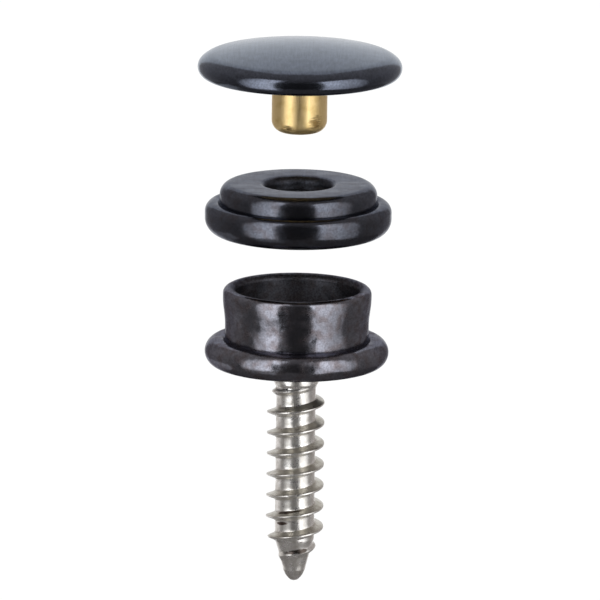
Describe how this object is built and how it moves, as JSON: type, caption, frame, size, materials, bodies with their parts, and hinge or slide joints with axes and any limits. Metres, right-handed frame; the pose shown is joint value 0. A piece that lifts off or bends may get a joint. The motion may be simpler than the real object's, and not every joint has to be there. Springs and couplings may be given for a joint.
{
  "type": "screw-in snap fastener",
  "caption": "Screw-in snap fastener: a black stud on a wood screw, a socket with a spring ring, and a domed cap with a brass post, laid out apart on one axis.",
  "frame": {"origin": "centre of the stud's seat, on the plane of the surface that the stud is screwed to", "axes": "+Z along the screw's axis, away from that surface, through the socket to the cap; +X to the right and +Y away as the picture looks at it"},
  "size_m": [0.015, 0.015, 0.0406],
  "materials": {
    "black_brass": "satin black plating",
    "plain_brass": "satin, drawn",
    "spring_bronze": "drawn wire",
    "stainless_steel": "rolled thread, satin"
  },
  "bodies": {
    "stud": {"stud_shell": "black_brass", "screw": "stainless_steel"},
    "spring_ring": {"spring_ring": "spring_bronze"},
    "socket": {"socket_shell": "black_brass", "socket_retainer": "plain_brass"},
    "cap": {"cap_shell": "black_brass", "cap_post": "plain_brass"}
  },
  "joints": [
    {"name": "socket_press", "type": "slide", "parent": "stud", "child": "spring_ring", "axis": [0, 0, 1], "range_m": [-0.0075, 0], "deforming": ["spring_ring"]},
    {"name": "socket_swivel", "type": "hinge", "parent": "spring_ring", "child": "socket", "pos_m": [0, 0, 0.01089], "axis": [0, 0, 1], "continuous": true},
    {"name": "cap_seat", "type": "slide", "parent": "socket", "child": "cap", "axis": [0, 0, 1], "range_m": [-0.00701, 0]}
  ]
}
